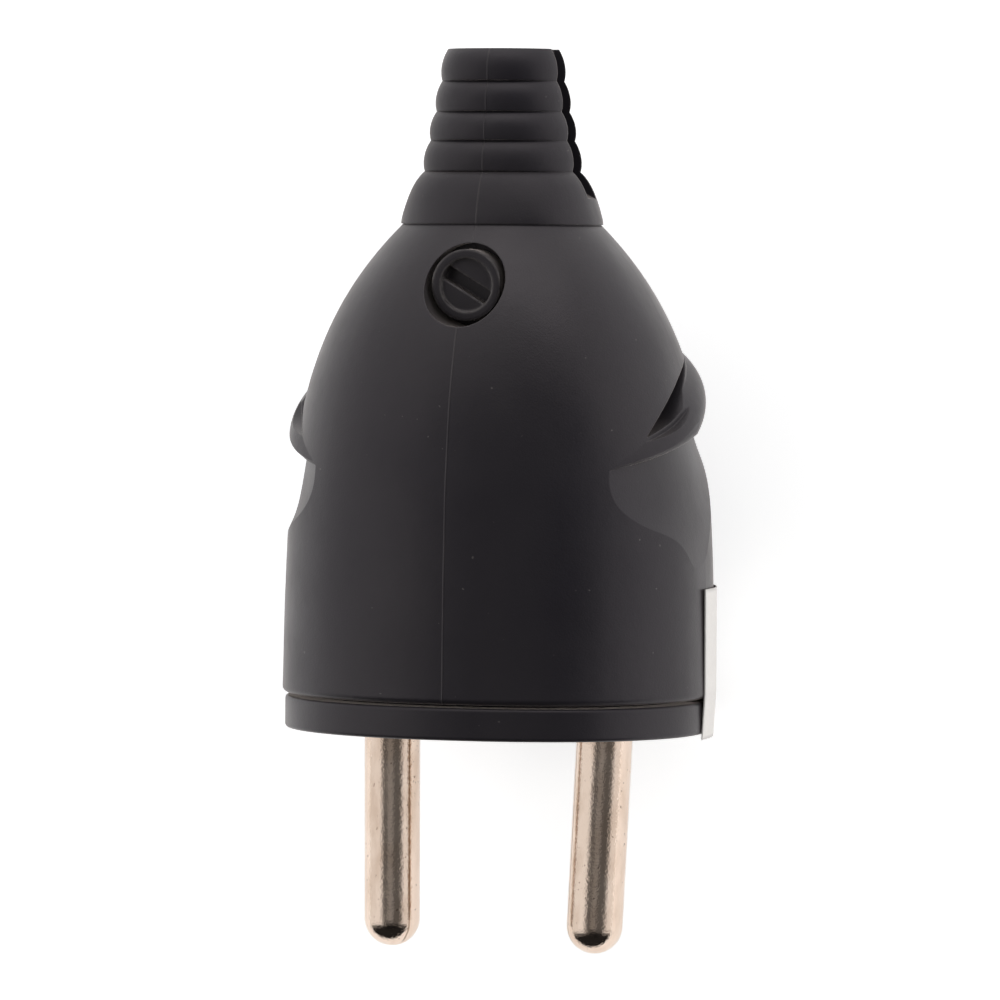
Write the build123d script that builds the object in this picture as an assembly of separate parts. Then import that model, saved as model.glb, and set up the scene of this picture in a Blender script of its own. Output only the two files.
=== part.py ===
from build123d import *
from math import copysign, cos, pi, radians, sin
import os

# A rewireable two-pin mains plug, in millimetres. It is drawn upright: the pins point down, the
# screw side faces -Y, and heights count from the outer face of the pin plate. At the end it is
# laid on its back, so that +Y runs from the pins to the spout and +Z points out of the screw.

# Pins
pin_radius = 2.4
pin_spacing = 19.0
pin_reach = 19.0
pin_relief_radius = 2.2
pin_relief_height = 0.45
left_pin_lean = 0.4
right_pin_lean = 2.65
shoulder_radius = 3.6
shoulder_height = 1.5
shoulder_seat_depth = 0.4
head_radius = 3.2
head_height = 11.6
wire_hole_radius = 1.45
wire_hole_depth = 8.0
terminal_screw_height = 12.2

# Pin plate and body
plate_thickness = 2.75
plate_inset = 0.3
plate_edge_radius = 0.3
rim_gap = 0.25
rim_edge_radius = 0.5
body_half_width = 18.52
body_draft = 0.018
taper_height = 49.4
taper_power = 4.57
depth_ratio = 0.85
oval_power = 2.18
oval_points = 28
body_section_heights = [8, 13, 18, 23, 27, 31, 34, 37, 39.5, 41.5]
front_wall = 2.2
side_wall = 2.2
ear_wall = 1.3
ear_wall_height = 26.0
ear_wall_spread = 9.0
cavity_section_heights = [8, 13, 18, 22, 26, 30, 34, 37, 40]
cavity_top = 42.0

# Finger ears: a tilted swell, a pocket above it and a drawn-in waist below it
swell_inset = 0.53
swell_half_depth = 16.07
swell_half_height = 5.5
swell_height = 26.48
swell_forward = 1.09
swell_tilt = 29.8
lip_height = 25.74
lip_tilt = 16.6
lip_inset = 0.49
lip_edge_radius = 0.68
lip_seat = 0.15
waist_height = 25.0
waist_tilt = 8.5
# Height from the waist's plane, draw-in from the widest line, half depth and shift to the back
waist_sections = [
    (-10.5, 0.17, 30.0, 0.1),
    (-8.8, 0.45, 27.0, 0.1),
    (-7.0, 0.82, 24.5, 0.25),
    (-5.2, 1.28, 21.0, 0.55),
    (-3.4, 1.66, 19.2, 0.35),
    (-1.5, 2.1, 18.2, 0.0),
    (1.0, 2.6, 18.0, 0.0),
    (4.0, 3.1, 17.8, 0.0),
]
pocket_depth = 3.92
pocket_edge_centre = (8.0, 11.4)
pocket_edge_radius = 20.88
pocket_edge_angles = (138.5, 95.5)
pocket_lip_points = [(3.4, 31.1), (1.0, 29.9), (-1.4, 28.25), (-3.66, 26.4), (-5.57, 25.5)]
pocket_slant = 40.0
swell_trim = 0.2
ledge_depth = 0.52
ledge_turn = -20.0
ledge_width = 0.45
ledge_edge_angles = (140.0, 94.0)

# Spout and collar
spout_top = 57.75
spout_top_half_width = 4.75
rib_bottoms = [55.05, 52.46, 50.0, 47.38]
rib_half_widths = [5.3, 5.76, 6.24, 6.74]
rib_bulge = [(0.35, 0.72), (0.7, 1.0)]
rib_notch = 0.09
rib_overhang = 0.35
collar_bottom = 42.9
collar_sections = [(46.95, 7.05), (46.3, 7.5), (45.4, 7.93), (44.3, 8.32), (43.4, 8.56)]
collar_half_width = 8.62
cable_radius = 3.1
slot_width = 2.3
slot_outline = [(3.9, 60.0), (5.0, 48.0), (5.6, 46.2), (8.2, 45.0), (12.0, 45.0), (12.0, 60.0)]

# Cover screw, its recess and its thread in the carrier's tail
cover_screw_drop = 5.1
cover_screw_face = 10.0
cover_screw_head_radius = 3.0
cover_screw_head_length = 2.8
cover_screw_dish_radius = 2.25
cover_screw_dish_depth = 0.35
cover_screw_slot_width = 1.2
cover_screw_slot_depth = 1.3
cover_screw_slot_angle = -30.7
cover_screw_radius = 1.9
cover_screw_length = 4.6
recess_radius = 3.5
boss_radius = 4.6
boss_wall = 1.6
insert_radius = 2.7
insert_length = 3.2

# Carrier inside the cover
spigot_top = 7.0
spigot_wall = 1.5
tail_width = 10.0
tail_nose_width = 6.8
tail_thickness = 3.4
tail_end_wall = 0.1
tail_nose_length = 7.6
post_radius = 2.6
clamp_height = 27.0
clamp_seat_width = 18.0
clamp_seat_length = 5.0
clamp_bar_width = 17.2
clamp_bar_length = 4.2
clamp_bar_thickness = 2.6
clamp_screw_spacing = 12.8
clamp_passage_radius = 2.3
clamp_passage_offset = 0.4
clamp_hump_radius = 3.9
retainer_thickness = 2.5
retainer_pad_radius = 4.7
retainer_bar = (-1.6, 4.0)
retainer_screw_place = 1.2
fin_back = 9.5
fin_top = 18.0
fin_thickness = 1.4
fin_foot_width = 3.4

# Small screws: shank radius, head radius, head length, shank length
terminal_screw = (1.5, 2.6, 1.8, 4.7)
retainer_screw = (1.45, 2.5, 1.7, 5.0)
clamp_screw = (1.4, 2.4, 1.6, 5.2)
screw_slot_width = 0.7
screw_slot_depth = 0.9

# Clearances
slide_clearance = 0.15
bore_clearance = 0.1
thread_clearance = 0.05
seat_clearance = 0.2
retainer_lift = 0.25

# Paper label over the joint of cover and plate
label_thickness = 0.1
label_gap = 0.03
label_stand_off = 0.15
label_bottom = -0.4
label_top = 12.3
label_front = -0.9
label_back = 11.0

rim_height = plate_thickness + rim_gap
cover_screw_height = collar_bottom - cover_screw_drop
tail_top = cover_screw_height + insert_radius + tail_end_wall
shoulder_bottom = plate_thickness - shoulder_seat_depth
shoulder_top = shoulder_bottom + shoulder_height
head_top = shoulder_top + head_height
screw_seat = -cover_screw_face + cover_screw_head_length
tail_front = screw_seat + boss_wall + seat_clearance
tail_back = tail_front + tail_thickness
retainer_bottom = shoulder_top + retainer_lift

# How far a cutting shape runs past what it cuts: a little, and far out of the plug
overshoot = 1.0
far = 60.0


def signed_power(value, power):
    return copysign(abs(value) ** power, value)


def oval(height, half_width, half_depth):
    """A superelliptic section at one height."""
    points = []
    for step in range(oval_points):
        angle = 2 * pi * step / oval_points
        x = half_width * signed_power(cos(angle), 2 / oval_power)
        y = half_depth * signed_power(sin(angle), 2 / oval_power)
        points.append((x, y, height))
    return make_face(Spline(*points, periodic=True))


def oval_loft(sections):
    return loft([oval(*section) for section in sections])


def body_width_at(height):
    """Half the body's width: a slight draft, closing in towards the collar."""
    drafted = body_half_width - body_draft * height
    return drafted * (1 - (height / taper_height) ** taper_power)


def side_wall_at(height):
    """The side wall is thicker behind the pockets of the ears."""
    offset = (height - ear_wall_height) / ear_wall_spread
    return side_wall + ear_wall * max(0.0, 1 - offset ** 2)


def cavity_section(height):
    width = body_width_at(height)
    return (height, width - side_wall_at(height), depth_ratio * width - front_wall)


def rod(radius, bottom, top):
    return extrude(Plane.XY.offset(bottom) * Circle(radius), top - bottom)


def block(x_range, y_range, z_range):
    size = [high - low for low, high in (x_range, y_range, z_range)]
    centre = [(high + low) / 2 for low, high in (x_range, y_range, z_range)]
    return Pos(*centre) * Box(*size)


def depth_rod(radius, front, back, height=0.0):
    """A rod along the depth, from front to back."""
    return Pos(0, front, height) * Rotation(-90, 0, 0) * rod(radius, 0, back - front)


def both_sides(shape):
    return shape + mirror(shape, about=Plane.YZ)


def ellipsoid(half_axes):
    width = half_axes[0]
    return scale(Sphere(width), by=(1, half_axes[1] / width, half_axes[2] / width))


def ear_swell():
    """A tilted swell that stands out of both sides, up to the cut edge of the pockets."""
    axes = (body_half_width - swell_inset, swell_half_depth, swell_half_height)
    swell = Rotation(swell_tilt, 0, 0) * ellipsoid(axes)
    depth, height = pocket_edge_centre
    tip_height = height + pocket_edge_radius * sin(radians(ledge_edge_angles[0]))
    under_edge = Pos(0, depth, height) * Rotation(0, 90, 0) * Cylinder(pocket_edge_radius - swell_trim, far)
    under_edge += block((-far / 2, far / 2), (-far, far), (-far, tip_height))
    return Pos(0, -swell_forward, swell_height) * swell & under_edge


def lip_plane():
    """The slanted plane of the lips' undersides."""
    return Pos(0, 0, lip_height) * Rotation(lip_tilt, 0, 0)


def waist_cutter():
    """The body under the ears is drawn in towards the lips; this is all outside of it."""
    waist = loft(
        [
            Pos(0, back_shift, height) * Ellipse(body_half_width - draw_in, half_depth)
            for height, draw_in, half_depth, back_shift in waist_sections
        ]
    )
    around = block((-far, far), (-far, far), (waist_sections[0][0], waist_sections[-1][0])) - waist
    under_lips = lip_plane() * block((-far, far), (-far, far), (-far, 0))
    return Pos(0, 0, waist_height) * Rotation(waist_tilt, 0, 0) * around & under_lips


def ear_lips():
    """The swell above its slanted underside, whose edge is rounded as a quarter circle."""
    width = body_half_width - lip_inset
    sections = []
    for angle in (0, 22.5, 45, 67.5, 90):
        inset = lip_edge_radius * (1 - sin(radians(angle)))
        height = lip_edge_radius * (1 - cos(radians(angle)))
        sections.append((height, width - inset, depth_ratio * width - inset))
    rounded = oval_loft(sections)
    straight = extrude(oval(lip_edge_radius, width, depth_ratio * width), swell_half_depth)
    lips = Pos(0, 0, -lip_seat) * (rounded + straight)
    return ear_swell() & (lip_plane() * lips)


def pocket_outline(edge_angles, lip_width):
    """The slanted crescent between the body's cut edge and the lip, seen from the side."""
    along = radians(pocket_slant)
    moved = []
    for depth, height in pocket_lip_points:
        moved.append((depth - lip_width * sin(along), height + lip_width * cos(along)))
    front, back = edge_angles
    edge = CenterArc(pocket_edge_centre, pocket_edge_radius, front, back - front)
    lip = Spline(edge @ 1, *moved, edge @ 0)
    return make_face(Plane.YZ * (edge + lip))


def ear_pocket(outline, depth, turn):
    """A pocket cut sideways into both ears; its flat floor is turned about the height."""
    floor = Pos(body_half_width - depth, 0, 0) * Rotation(0, 0, turn)
    above_floor = floor * block((0, far), (-far, far), (-far, far))
    return both_sides(extrude(outline, far, dir=(1, 0, 0)) & above_floor)


def rib(top, bottom, top_half_width, half_width):
    """One rib of the spout: it bulges downwards and hangs over the next at front and back."""
    height = top - bottom
    grow = half_width - top_half_width
    sections = [(top, top_half_width, depth_ratio * top_half_width - rib_overhang)]
    for drop, growth in rib_bulge:
        width = top_half_width + growth * grow
        sections.append((top - drop * height, width, depth_ratio * width))
    width = half_width - rib_notch
    sections.append((bottom, width, depth_ratio * width))
    return oval_loft(sections)


def spout():
    solid = None
    top = spout_top
    top_half_width = spout_top_half_width
    for bottom, half_width in zip(rib_bottoms, rib_half_widths):
        piece = rib(top, bottom, top_half_width, half_width)
        solid = piece if solid is None else solid + piece
        top = bottom
        top_half_width = half_width - rib_notch
    return solid + collar(top, top_half_width)


def collar(top, top_half_width):
    sections = [(top, top_half_width, depth_ratio * top_half_width - rib_overhang)]
    for height, half_width in collar_sections:
        sections.append((height, half_width, depth_ratio * half_width))
    sections.append((collar_bottom, collar_half_width, depth_ratio * collar_half_width))
    return oval_loft(sections)


def spout_slots():
    face = make_face(Plane.XZ * Polyline(*slot_outline, close=True))
    return both_sides(extrude(face, slot_width / 2, both=True))


def body_section(height, inset=0.0):
    width = body_width_at(height)
    return (height, width - inset, depth_ratio * width - inset)


def outer_body():
    """The smooth body, with its lower edge rounded as a quarter circle."""
    rim_top = rim_height + rim_edge_radius
    heights = [rim_top] + body_section_heights + [collar_bottom]
    body = oval_loft([body_section(height) for height in heights])
    rim = []
    for angle in (0, 30, 60, 90):
        inset = rim_edge_radius * (1 - sin(radians(angle)))
        rim.append(body_section(rim_top - rim_edge_radius * cos(radians(angle)), inset))
    return body + oval_loft(rim)


def screw_boss():
    """The thick round of the front wall under the cover screw; it starts inside the wall."""
    heights = [height for height in body_section_heights if height > ear_wall_height] + [collar_bottom]
    inside = oval_loft([body_section(height, front_wall / 2) for height in heights])
    return inside & depth_rod(boss_radius, -far, screw_seat + boss_wall, height=cover_screw_height)


def build_cover():
    shell = outer_body()
    shell -= waist_cutter()
    shell += ear_lips()
    shell -= ear_pocket(pocket_outline(pocket_edge_angles, ledge_width), pocket_depth, 0.0)
    shell -= ear_pocket(pocket_outline(ledge_edge_angles, 0.0), ledge_depth, ledge_turn)
    shell += spout()
    heights = [rim_height - overshoot] + cavity_section_heights + [cavity_top]
    shell -= oval_loft([cavity_section(height) for height in heights])
    shell += screw_boss()
    shell -= rod(cable_radius, cavity_top - overshoot, spout_top + overshoot)
    shell -= spout_slots()
    shell -= depth_rod(recess_radius, -far, screw_seat, height=cover_screw_height)
    shell -= depth_rod(cover_screw_radius + seat_clearance, -far, 0, height=cover_screw_height)
    return shell


def pin_place(side):
    """Where a pin stands, leaning inwards; side is -1 for the left pin and 1 for the right."""
    lean = left_pin_lean if side < 0 else right_pin_lean
    return Pos(side * pin_spacing / 2, 0, 0) * Rotation(0, side * lean, 0)


def build_pin(side):
    shank = rod(pin_radius, -pin_reach + pin_radius, shoulder_top)
    tip = Pos(0, 0, -pin_reach + pin_radius) * Sphere(pin_radius)
    pin = shank + tip + rod(shoulder_radius, shoulder_bottom, shoulder_top)
    pin += rod(head_radius, shoulder_bottom, head_top)
    relief = (-pin_relief_height, shoulder_bottom)
    pin -= rod(head_radius, *relief) - rod(pin_relief_radius, *relief)
    pin -= rod(wire_hole_radius, head_top - wire_hole_depth, head_top)
    screw_hole = terminal_screw[0] + thread_clearance
    pin -= depth_rod(screw_hole, -far, wire_hole_radius + seat_clearance, height=terminal_screw_height)
    return pin_place(side) * pin


def slotted_screw(sizes):
    """A cheese-head screw with its head upwards; its seat is at height 0."""
    shank_radius, screw_head_radius, head_length, length = sizes
    screw = rod(shank_radius, -length, 0) + rod(screw_head_radius, 0, head_length)
    slot = Pos(0, 0, head_length) * Box(far, screw_slot_width, 2 * screw_slot_depth)
    return screw - slot


def build_terminal_screw(side):
    seat = wire_hole_radius - thread_clearance - terminal_screw[3]
    screw = Pos(0, seat, terminal_screw_height) * Rotation(90, 0, 0) * slotted_screw(terminal_screw)
    return pin_place(side) * screw


def build_retainer_screw():
    top = retainer_bottom + retainer_thickness
    return Pos(0, retainer_screw_place, top) * slotted_screw(retainer_screw)


def build_clamp_screw(side):
    seat = tail_back + clamp_bar_thickness
    place = Pos(side * clamp_screw_spacing / 2, seat, clamp_height)
    return place * Rotation(-90, 0, 0) * slotted_screw(clamp_screw)


def spigot_oval(inset):
    """The cavity's outline at the spigot, drawn in by the given amount."""
    height, width, depth = cavity_section(spigot_top)
    return oval(0, width - inset, depth - inset)


def build_carrier():
    width = body_width_at(0) - plate_inset
    plate = extrude(oval(0, width, depth_ratio * width), plate_thickness)
    plate = fillet(plate.edges(), plate_edge_radius)
    foot = plate_thickness / 2
    ring = spigot_oval(slide_clearance) - spigot_oval(slide_clearance + spigot_wall)
    spigot = Pos(0, 0, foot) * extrude(ring, spigot_top - foot)
    post = Pos(0, retainer_screw_place, 0) * rod(post_radius, foot, retainer_bottom)
    carrier = plate + spigot + post
    clamp_seat = (clamp_height - clamp_seat_length / 2, clamp_height + clamp_seat_length / 2)
    for width, z_range in (
        (tail_width, (foot, tail_top - tail_nose_length)),
        (tail_nose_width, (foot, tail_top)),
        (clamp_seat_width, clamp_seat),
    ):
        carrier += block((-width / 2, width / 2), (tail_front, tail_back), z_range)
    for side in (-1, 1):
        carrier -= pin_place(side) * rod(pin_radius + bore_clearance, -overshoot, spigot_top)
        carrier -= pin_place(side) * rod(shoulder_radius + bore_clearance, shoulder_bottom, spigot_top)
        hole = tail_hole(clamp_screw[0] + thread_clearance, clamp_height)
        carrier -= Pos(side * clamp_screw_spacing / 2, 0, 0) * hole
    post_hole = retainer_screw[0] + thread_clearance
    hole_bottom = retainer_bottom + retainer_thickness - retainer_screw[3] - seat_clearance
    carrier -= Pos(0, retainer_screw_place, 0) * rod(post_hole, hole_bottom, spigot_top)
    carrier -= clamp_passage()
    return carrier - tail_hole(insert_radius + thread_clearance, cover_screw_height)


def tail_hole(radius, height):
    """A hole right through the tail, at one height."""
    return depth_rod(radius, tail_front - overshoot, tail_back + overshoot, height=height)


def clamp_passage():
    """The way of the cable between the tail and the clamp bar."""
    bottom = clamp_height - clamp_seat_length
    top = clamp_height + clamp_seat_length
    return Pos(0, tail_back + clamp_passage_offset, 0) * rod(clamp_passage_radius, bottom, top)


def build_clamp():
    half = clamp_bar_length / 2
    z_range = (clamp_height - half, clamp_height + half)
    bar = block(
        (-clamp_bar_width / 2, clamp_bar_width / 2),
        (tail_back, tail_back + clamp_bar_thickness),
        z_range,
    )
    hump = Pos(0, tail_back, 0) * rod(clamp_hump_radius, *z_range)
    hump &= block((-far, far), (tail_back, far), z_range)
    clamp = bar + hump - clamp_passage()
    for side in (-1, 1):
        hole = depth_rod(clamp_screw[0] + seat_clearance, tail_front, far, height=clamp_height)
        clamp -= Pos(side * clamp_screw_spacing / 2, 0, 0) * hole
    return clamp


def build_retainer():
    z_range = (retainer_bottom, retainer_bottom + retainer_thickness)
    retainer = block((-pin_spacing / 2, pin_spacing / 2), retainer_bar, z_range)
    for side in (-1, 1):
        retainer += Pos(side * pin_spacing / 2, 0, 0) * rod(retainer_pad_radius, *z_range)
    retainer += block((-fin_foot_width / 2, fin_foot_width / 2), (retainer_bar[0], fin_back), z_range)
    fin = (retainer_bottom, fin_top)
    retainer += block((-fin_thickness / 2, fin_thickness / 2), (retainer_bar[1], fin_back), fin)
    for side in (-1, 1):
        retainer -= pin_place(side) * rod(head_radius + seat_clearance, 0, head_top)
    retainer -= Pos(0, retainer_screw_place, 0) * rod(retainer_screw[0] + seat_clearance, 0, head_top)
    inside = spigot_oval(slide_clearance + spigot_wall + seat_clearance)
    return retainer & extrude(inside, far)


def build_cover_screw():
    screw = rod(cover_screw_head_radius, 0, cover_screw_head_length)
    screw += rod(cover_screw_radius, -cover_screw_length, 0)
    dish_bottom = cover_screw_head_length - cover_screw_dish_depth
    screw -= rod(cover_screw_dish_radius, dish_bottom, far)
    slot = Box(far, cover_screw_slot_width, 2 * cover_screw_slot_depth)
    slot = Pos(0, 0, cover_screw_head_length) * Rotation(0, 0, cover_screw_slot_angle) * slot
    screw -= slot & rod(cover_screw_dish_radius, 0, far)
    return Pos(0, screw_seat, cover_screw_height) * Rotation(90, 0, 0) * screw


def build_insert():
    bush = depth_rod(insert_radius, tail_front, tail_front + insert_length, height=cover_screw_height)
    return bush - tail_hole(cover_screw_radius + thread_clearance, cover_screw_height)


def label_sleeve(lift):
    """A skin over plate, rim and body, lifted off them by the given amount."""
    plate_width = body_width_at(0) - plate_inset
    rim_width = body_width_at(rim_height + rim_edge_radius)
    widths = [
        (label_bottom, plate_width),
        (rim_height + rim_edge_radius, rim_width),
        (label_top, body_width_at(label_top) + label_stand_off),
    ]
    faces = [oval(height, width + lift, depth_ratio * width + lift) for height, width in widths]
    return loft(faces, ruled=True)


def build_label():
    sleeve = label_sleeve(label_gap + label_thickness) - label_sleeve(label_gap)
    return sleeve & block((0, far), (label_front, label_back), (label_bottom, label_top))


def lay_down(shape):
    return Rotation(-90, 0, 0) * shape


parts = {
    "cover": build_cover(),
    "pin_carrier": build_carrier(),
    "left_pin": build_pin(-1),
    "right_pin": build_pin(1),
    "left_terminal_screw": build_terminal_screw(-1),
    "right_terminal_screw": build_terminal_screw(1),
    "pin_retainer": build_retainer(),
    "retainer_screw": build_retainer_screw(),
    "cable_clamp": build_clamp(),
    "left_clamp_screw": build_clamp_screw(-1),
    "right_clamp_screw": build_clamp_screw(1),
    "cover_screw": build_cover_screw(),
    "screw_insert": build_insert(),
    "side_label": build_label(),
}

os.makedirs("parts", exist_ok=True)
for name, shape in parts.items():
    export_step(lay_down(shape), f"parts/{name}.step")
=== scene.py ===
import bpy
from math import cos, radians, sin
from mathutils import Matrix, Vector


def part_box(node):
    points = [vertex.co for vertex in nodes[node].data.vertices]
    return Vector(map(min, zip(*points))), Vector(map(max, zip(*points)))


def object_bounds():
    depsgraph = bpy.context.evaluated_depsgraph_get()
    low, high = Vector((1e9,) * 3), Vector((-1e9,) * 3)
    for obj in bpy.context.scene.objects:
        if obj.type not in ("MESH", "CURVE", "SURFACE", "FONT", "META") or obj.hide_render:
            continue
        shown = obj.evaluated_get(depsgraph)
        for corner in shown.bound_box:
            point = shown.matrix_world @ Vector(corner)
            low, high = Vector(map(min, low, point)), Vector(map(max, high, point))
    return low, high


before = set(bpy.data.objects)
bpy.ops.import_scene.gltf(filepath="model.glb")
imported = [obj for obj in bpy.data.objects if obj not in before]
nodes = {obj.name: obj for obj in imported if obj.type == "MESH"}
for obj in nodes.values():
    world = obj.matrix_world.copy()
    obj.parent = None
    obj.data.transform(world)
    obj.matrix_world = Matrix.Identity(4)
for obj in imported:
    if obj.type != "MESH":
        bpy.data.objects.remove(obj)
cad_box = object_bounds()

mm = 0.001

# Colours, linear
white = (1.0, 1.0, 1.0)
plastic_deep = (0.0085, 0.0077, 0.0112)
plastic_worn = (0.0155, 0.0141, 0.0165)
# Pale grey for the painted highlight on sharp edges, for rubbed wear and for dust specks
plastic_highlight_wear_dust = (0.105, 0.097, 0.093)
plastic_sheen = (1.0, 0.87, 0.80)
plastic_gloss = (1.0, 0.91, 0.94)
nickel = ((0.735, 0.595, 0.495), (0.63, 0.49, 0.39), (0.25, 0.17, 0.12))
# Brown of the painted reflection line along each pin
nickel_reflection_brown = (0.22, 0.14, 0.08)
steel = ((0.62, 0.62, 0.63), (0.45, 0.45, 0.47), (0.2, 0.19, 0.18))
brass = ((0.80, 0.60, 0.28), (0.60, 0.42, 0.18), (0.3, 0.2, 0.1))
paper_white = (0.82, 0.79, 0.76)
# Grey of the paper's fibres, and of the painted shade along the label's rim
paper_grey_and_rim_shade = (0.52, 0.50, 0.48)
floor_card = (0.9, 0.9, 0.9)

# Plastic
cover_roughness = 0.38
carrier_roughness = 0.36
screw_roughness = 0.42
spout_start = 40 * mm
spout_end = 46 * mm
spout_extra_roughness = 0.12
grain_size = 0.16 * mm
grain_depth = 0.009 * mm
ripple_size = 1.3 * mm
ripple_depth = 0.012 * mm
speck_size = 0.5 * mm
speck_strength = 0.5
mould_line_half_width = 0.11 * mm
mould_line_height = 0.03 * mm

# Pins: the brown lines, a painted reflection, lie at these angles round each pin, from +Z
# towards +X
pin_roughness = 0.05
pin_grain_depth = 0.026 * mm
left_reflection_angle = 56.1
right_reflection_angle = -56.6
reflection_strength = 0.75

# Label: its rim is darkened with painted shade
label_rim = 0.35 * mm
label_rim_shade_strength = 0.75

# Camera of the photograph, fitted to the pins and the outline
view_azimuth = radians(17.4)
view_pitch = radians(2.35)
view_roll = radians(0.46)
view_distance = 0.5546
view_height = 0.0422
focal_length = 234.67
sensor_width = 36.0

# Studio: the room is dark where it faces the screw side and below the pins
room_dark = 0.13
room_below = 0.02
window_way = (0.16, 0.0, 0.987)
window_glow = 0.16
floor_half = 0.6
floor_glow = 0.6
top_watts = 0.7
side_watts = 2.2
aim_height = 0.02


class Tree:
    """The node tree of one material or world, with short names for what is used often."""

    def __init__(self, block):
        block.use_nodes = True
        self.tree = block.node_tree
        self.coord = self.node("ShaderNodeTexCoord")

    def node(self, kind, **settings):
        made = self.tree.nodes.new(kind)
        for name, value in settings.items():
            setattr(made, name, value)
        return made

    def join(self, source, target):
        """Feeds a socket from another node's output, or sets it to a plain value."""
        if hasattr(source, "links"):
            self.tree.links.new(source, target)
        elif isinstance(source, tuple) and target.type == "RGBA":
            target.default_value = (*source, 1.0)
        else:
            target.default_value = source

    def math(self, operation, *values):
        made = self.node("ShaderNodeMath", operation=operation)
        for value, socket in zip(values, made.inputs):
            self.join(value, socket)
        return made.outputs[0]

    def vector(self, operation, first, second):
        made = self.node("ShaderNodeVectorMath", operation=operation)
        self.join(first, made.inputs[0])
        self.join(second, made.inputs[1])
        return made.outputs["Value" if operation == "DOT_PRODUCT" else "Vector"]

    def axis(self, vector, name):
        split = self.node("ShaderNodeSeparateXYZ")
        self.join(vector, split.inputs[0])
        return split.outputs[name]

    def noise(self, size, detail=3.0, stretch=None):
        """Noise whose grains are about this size in metres."""
        made = self.node("ShaderNodeTexNoise")
        made.inputs["Scale"].default_value = 1.0 / size
        made.inputs["Detail"].default_value = detail
        place = self.coord.outputs["Object"]
        if stretch:
            place = self.vector("MULTIPLY", place, stretch)
        self.join(place, made.inputs["Vector"])
        return made.outputs["Fac"]

    def span(self, value, low, high, to_low=0.0, to_high=1.0, smooth=False):
        """Maps low..high of a value to to_low..to_high, and holds it outside."""
        made = self.node("ShaderNodeMapRange", clamp=True)
        if smooth:
            made.interpolation_type = "SMOOTHSTEP"
        for number, socket in zip((value, low, high, to_low, to_high), made.inputs):
            self.join(number, socket)
        return made.outputs["Result"]

    def mix(self, share, first, second):
        """A colour between two; the mix node's colour sockets have no names of their own."""
        made = self.node("ShaderNodeMix", data_type="RGBA")
        self.join(share, made.inputs["Factor"])
        self.join(first, made.inputs[6])
        self.join(second, made.inputs[7])
        return made.outputs[2]

    def bump(self, height, depth, after=None):
        """Raises the surface by height times depth, in metres."""
        made = self.node("ShaderNodeBump")
        made.inputs["Strength"].default_value = 1.0
        made.inputs["Distance"].default_value = depth
        self.join(height, made.inputs["Height"])
        if after:
            self.join(after, made.inputs["Normal"])
        return made.outputs["Normal"]


class Surface(Tree):
    """A principled material."""

    def __init__(self, name, roughness, metallic=0.0, specular=0.5):
        self.material = bpy.data.materials.new(name)
        super().__init__(self.material)
        self.shader = self.tree.nodes["Principled BSDF"]
        self.shader.inputs["Roughness"].default_value = roughness
        self.shader.inputs["Metallic"].default_value = metallic
        self.shader.inputs["Specular IOR Level"].default_value = specular

    def edges(self, radius):
        """How near a sharp edge is, within the radius, and the normal rounded over it."""
        rounded = self.node("ShaderNodeBevel", samples=6)
        rounded.inputs["Radius"].default_value = radius
        flat = self.node("ShaderNodeNewGeometry").outputs["Normal"]
        facing = self.vector("DOT_PRODUCT", rounded.outputs["Normal"], flat)
        return self.span(facing, 0.98, 0.82), rounded.outputs["Normal"]

    def smudges(self):
        return self.noise(7 * mm, 3.0)

    def finish(self, **inputs):
        for name, value in inputs.items():
            self.join(value, self.shader.inputs[name.replace("_", " ")])
        return self.material


def moulded_plastic(name, roughness, edge_width=0.16 * mm, edge_highlight_and_wear=0.35, line=False):
    """Black plastic with spark-eroded grain, edges paled by painted highlight and wear, and
    dust specks.
    """
    plastic = Surface(name, roughness, specular=0.4)
    plastic.shader.inputs["Sheen Weight"].default_value = 0.3
    plastic.shader.inputs["Sheen Roughness"].default_value = 0.32
    plastic.shader.inputs["Sheen Tint"].default_value = (*plastic_sheen, 1.0)
    plastic.shader.inputs["Specular Tint"].default_value = (*plastic_gloss, 1.0)
    clouds = plastic.noise(14 * mm, 4.0, (1.0, 0.5, 1.0))
    colour = plastic.mix(plastic.span(clouds, 0.35, 0.7), plastic_deep, plastic_worn)
    # Sharp edges turn pale: a painted highlight, broken up by noise, partly also rubbed wear
    edge, normal = plastic.edges(edge_width)
    edge_highlight_and_scuffs = plastic.span(plastic.noise(0.6 * mm, 3.0), 0.3, 0.6, 0.35 * edge_highlight_and_wear, edge_highlight_and_wear)
    colour = plastic.mix(plastic.math("MULTIPLY", edge, edge_highlight_and_scuffs), colour, plastic_highlight_wear_dust)
    specks = plastic.span(plastic.noise(speck_size, 1.0), 0.785, 0.825)
    specks = plastic.math("MULTIPLY", specks, speck_strength)
    colour = plastic.mix(specks, colour, plastic_highlight_wear_dust)
    rough = plastic.span(plastic.smudges(), 0.3, 0.7, roughness - 0.05, roughness + 0.06)
    if line:
        along = plastic.axis(plastic.coord.outputs["Object"], "Y")
        on_spout = plastic.span(along, spout_start, spout_end, 0.0, spout_extra_roughness)
        rough = plastic.math("ADD", rough, on_spout)
    normal = plastic.bump(plastic.noise(grain_size, 3.0), grain_depth, normal)
    normal = plastic.bump(plastic.noise(ripple_size, 3.0), ripple_depth, normal)
    if line:
        normal, colour = mould_line(plastic, colour, normal)
    return plastic.finish(Base_Color=colour, Roughness=rough, Normal=normal)


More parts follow.
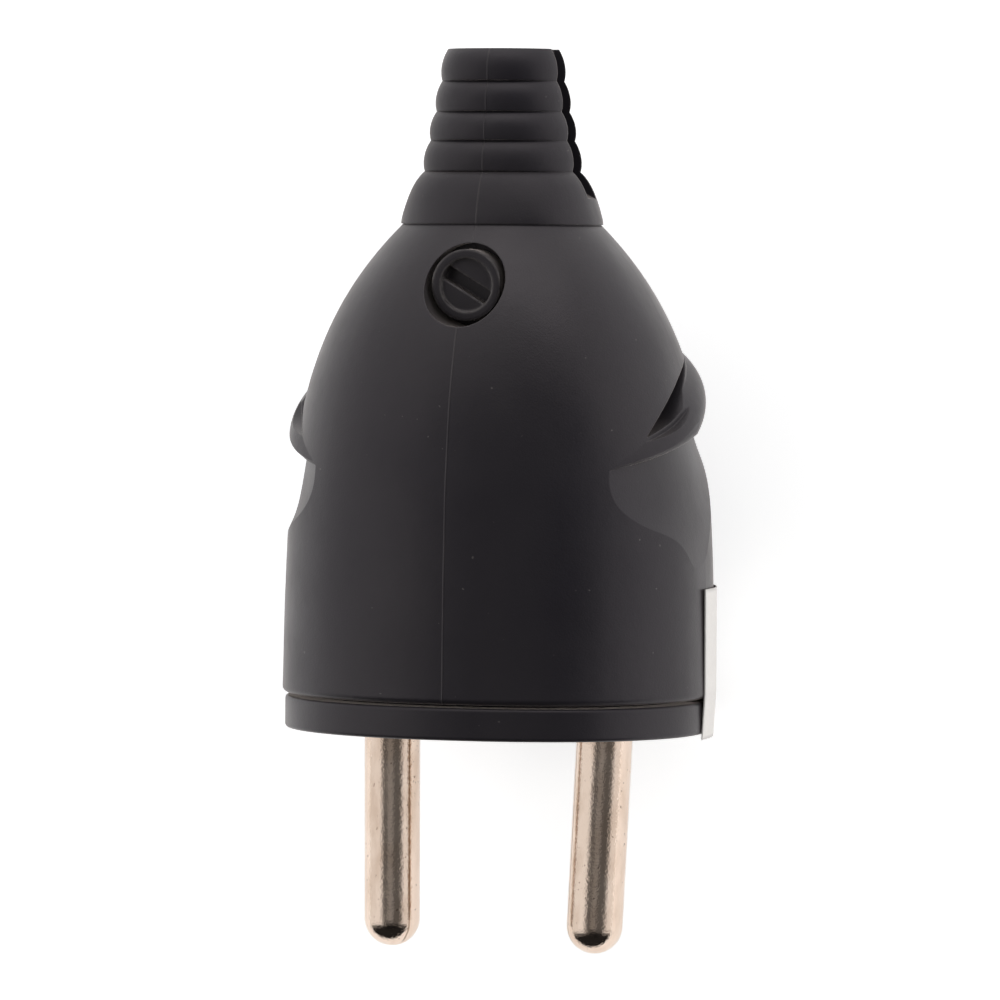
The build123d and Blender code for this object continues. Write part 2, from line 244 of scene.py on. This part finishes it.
def mould_line(plastic, colour, normal):
    """The halves of the mould met in the middle: a fine ridge, worn pale on its top."""
    wander = plastic.span(plastic.noise(9 * mm, 1.0), 0.0, 1.0, -0.05 * mm, 0.05 * mm)
    across = plastic.axis(plastic.coord.outputs["Object"], "X")
    distance = plastic.math("ABSOLUTE", plastic.math("ADD", across, wander))
    ridge = plastic.span(distance, mould_line_half_width, 0.02 * mm, smooth=True)
    worn = plastic.span(plastic.smudges(), 0.35, 0.65, 0.03, 0.2)
    pale = plastic.math("MULTIPLY", ridge, worn)
    return (plastic.bump(ridge, mould_line_height, normal),
            plastic.mix(pale, colour, plastic_highlight_wear_dust))


def painted_reflection_line(metal, colour, angle):
    """A thin brown line along a pin: a painted reflection at a set angle round it."""
    normal = metal.node("ShaderNodeNewGeometry").outputs["Normal"]
    toward = (sin(radians(angle)), 0.0, cos(radians(angle)))
    aside = (toward[2], 0.0, -toward[0])
    wander = metal.span(metal.noise(0.5 * mm, 2.0), 0.3, 0.7, -0.012, 0.012)
    offset = metal.math("ADD", metal.vector("DOT_PRODUCT", normal, aside), wander)
    near = metal.span(metal.math("ABSOLUTE", offset), 0.055, 0.02)
    this_side = metal.span(metal.vector("DOT_PRODUCT", normal, toward), 0.5, 0.7)
    near = metal.math("MULTIPLY", near, this_side)
    near = metal.math("MULTIPLY", near, reflection_strength)
    return metal.mix(near, colour, nickel_reflection_brown)


def plated_metal(name, tones, roughness, grain=0.0, reflection_angle=None):
    """Plating over turned metal: fine turning marks, dull patches and small pits."""
    bright, dull, pit = tones
    metal = Surface(name, roughness, metallic=1.0)
    patches = metal.noise(1.6 * mm, 4.0, (1.0, 0.4, 1.0))
    colour = metal.mix(metal.span(patches, 0.42, 0.66), bright, dull)
    pits = metal.span(metal.noise(0.35 * mm, 2.0, (1.0, 0.7, 1.0)), 0.69, 0.76)
    colour = metal.mix(pits, colour, pit)
    rough = metal.span(metal.noise(0.8 * mm, 3.0), 0.3, 0.75, roughness, roughness + 0.14)
    turning = metal.noise(0.25 * mm, 2.0, (0.25, 2.2, 0.25))
    normal = metal.bump(turning, 0.0008 * mm)
    normal = metal.bump(metal.noise(0.9 * mm, 3.0), 0.004 * mm, normal)
    normal = metal.bump(metal.noise(0.24 * mm, 4.0), grain, normal)
    normal = metal.bump(pits, -0.006 * mm, normal)
    # The brown line along the pin is a painted reflection
    if reflection_angle is not None:
        colour = painted_reflection_line(metal, colour, reflection_angle)
    return metal.finish(Base_Color=colour, Roughness=rough, Normal=normal)


def label_paper(name):
    """White paper, greyer along its rim, where shade is painted."""
    paper = Surface(name, 0.7, specular=0.3)
    fibres = paper.noise(0.3 * mm, 4.0)
    colour = paper.mix(paper.span(fibres, 0.3, 0.7, 0.0, 0.12), paper_white, paper_grey_and_rim_shade)
    low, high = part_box("side_label")
    sides = []
    for axis_name, bottom, top in (("Y", low[1], high[1]), ("Z", low[2], high[2])):
        along = paper.axis(paper.coord.outputs["Object"], axis_name)
        for start, inward in ((bottom, label_rim), (top, -label_rim)):
            sides.append(paper.span(along, start + inward, start, 0.0, label_rim_shade_strength))
    rim = sides[0]
    for side in sides[1:]:
        rim = paper.math("MAXIMUM", rim, side)
    # Painted shade darkens the label's rim
    colour = paper.mix(rim, colour, paper_grey_and_rim_shade)
    return paper.finish(Base_Color=colour, Normal=paper.bump(fibres, 0.003 * mm))


def dress_nodes():
    cover_black = moulded_plastic("cover_black", cover_roughness, line=True)
    carrier_black = moulded_plastic("carrier_black", carrier_roughness, edge_highlight_and_wear=0.1)
    screw_black = moulded_plastic("screw_black", screw_roughness, edge_width=0.4 * mm, edge_highlight_and_wear=1.0)
    left_nickel = plated_metal("left_nickel", nickel, pin_roughness, pin_grain_depth,
                               left_reflection_angle)
    right_nickel = plated_metal("right_nickel", nickel, pin_roughness, pin_grain_depth,
                                right_reflection_angle)
    looks = {
        cover_black: ["cover"],
        carrier_black: ["pin_carrier", "pin_retainer", "cable_clamp"],
        screw_black: ["cover_screw"],
        left_nickel: ["left_pin"],
        right_nickel: ["right_pin"],
        plated_metal("steel", steel, 0.24): [
            "left_terminal_screw", "right_terminal_screw", "retainer_screw",
            "left_clamp_screw", "right_clamp_screw"],
        plated_metal("brass", brass, 0.22): ["screw_insert"],
        label_paper("white_paper"): ["side_label"],
    }
    for material, names in looks.items():
        for name in names:
            slots = nodes[name].data.materials
            slots.clear()
            slots.append(material)


def add(name, data):
    made = bpy.data.objects.new(name, data)
    bpy.context.scene.collection.objects.link(made)
    return made


def build_floor():
    """A plain pale floor. Seen straight or mirrored it glows, but it throws no more light."""
    low = cad_box[0][2]
    half = floor_half
    mesh = bpy.data.meshes.new("floor")
    corners = [(-half, -half, low), (half, -half, low), (half, half, low), (-half, half, low)]
    mesh.from_pydata(corners, [], [(0, 1, 2, 3)])
    floor = add("floor", mesh)
    card = Surface("floor_card", 0.9, specular=0.0)
    path = card.node("ShaderNodeLightPath")
    seen = card.math("MAXIMUM", path.outputs["Is Camera Ray"], path.outputs["Is Glossy Ray"])
    seen = card.math("MAXIMUM", seen, path.outputs["Is Transmission Ray"])
    glow = card.math("MULTIPLY", seen, floor_glow)
    mesh.materials.append(card.finish(Base_Color=floor_card, Emission_Color=white,
                                      Emission_Strength=glow))


def build_world():
    """A white room with a dark end, where a soft window glows, and darkness below the pins."""
    world = bpy.data.worlds.new("studio")
    bpy.context.scene.world = world
    room = Tree(world)
    way = room.coord.outputs["Generated"]
    dark_end = (sin(view_azimuth), 0.0, cos(view_azimuth))
    facing = room.vector("DOT_PRODUCT", way, dark_end)
    glow = room.span(facing, 0.62, 0.86, 1.0, room_dark, smooth=True)
    below = room.span(room.axis(way, "Y"), -0.55, -0.25, room_below, 1.0, smooth=True)
    glow = room.math("MULTIPLY", glow, below)
    window = room.vector("DOT_PRODUCT", way, window_way)
    window = room.span(window, 0.955, 0.985, 0.0, window_glow, smooth=True)
    glow = room.math("ADD", glow, window)
    back = room.tree.nodes["Background"]
    room.join(white, back.inputs["Color"])
    room.join(glow, back.inputs["Strength"])


def area_light(name, place, height, size, energy):
    """A lamp that points at a height on the plug's own axis."""
    data = bpy.data.lights.new(name, "AREA")
    data.shape = "RECTANGLE"
    data.size, data.size_y = size
    data.energy = energy
    lamp = add(name, data)
    lamp.location = place
    aim = Vector((0.0, height, 0.0)) - Vector(place)
    lamp.rotation_euler = aim.to_track_quat("-Z", "Y").to_euler()
    return lamp


def build_lights():
    area_light("top_box", (0.05, 0.6, 0.25), 0.03, (0.6, 0.35), top_watts)
    for name, side in (("left_box", -1), ("right_box", 1)):
        lamp = area_light(name, (side * 0.6, 0.05, 0.1), aim_height, (0.4, 0.4), side_watts)
        lamp.visible_glossy = False


def build_camera():
    data = bpy.data.cameras.new("camera")
    data.sensor_width = sensor_width
    data.lens = focal_length
    data.clip_end = 10.0
    camera = add("camera", data)
    side = Vector((sin(view_azimuth), 0.0, cos(view_azimuth)))
    upright = Vector((0.0, 1.0, 0.0))
    forward = -cos(view_pitch) * side - sin(view_pitch) * upright
    up = cos(view_pitch) * upright - sin(view_pitch) * side
    axes = Matrix((forward.cross(up), up, -forward)).transposed().to_4x4()
    place = view_distance * side + view_height * upright
    camera.matrix_world = Matrix.Translation(place) @ axes @ Matrix.Rotation(view_roll, 4, "Z")
    bpy.context.scene.camera = camera


dress_nodes()
build_floor()
build_world()
build_camera()
build_lights()
bpy.context.scene.view_settings.view_transform = "Standard"
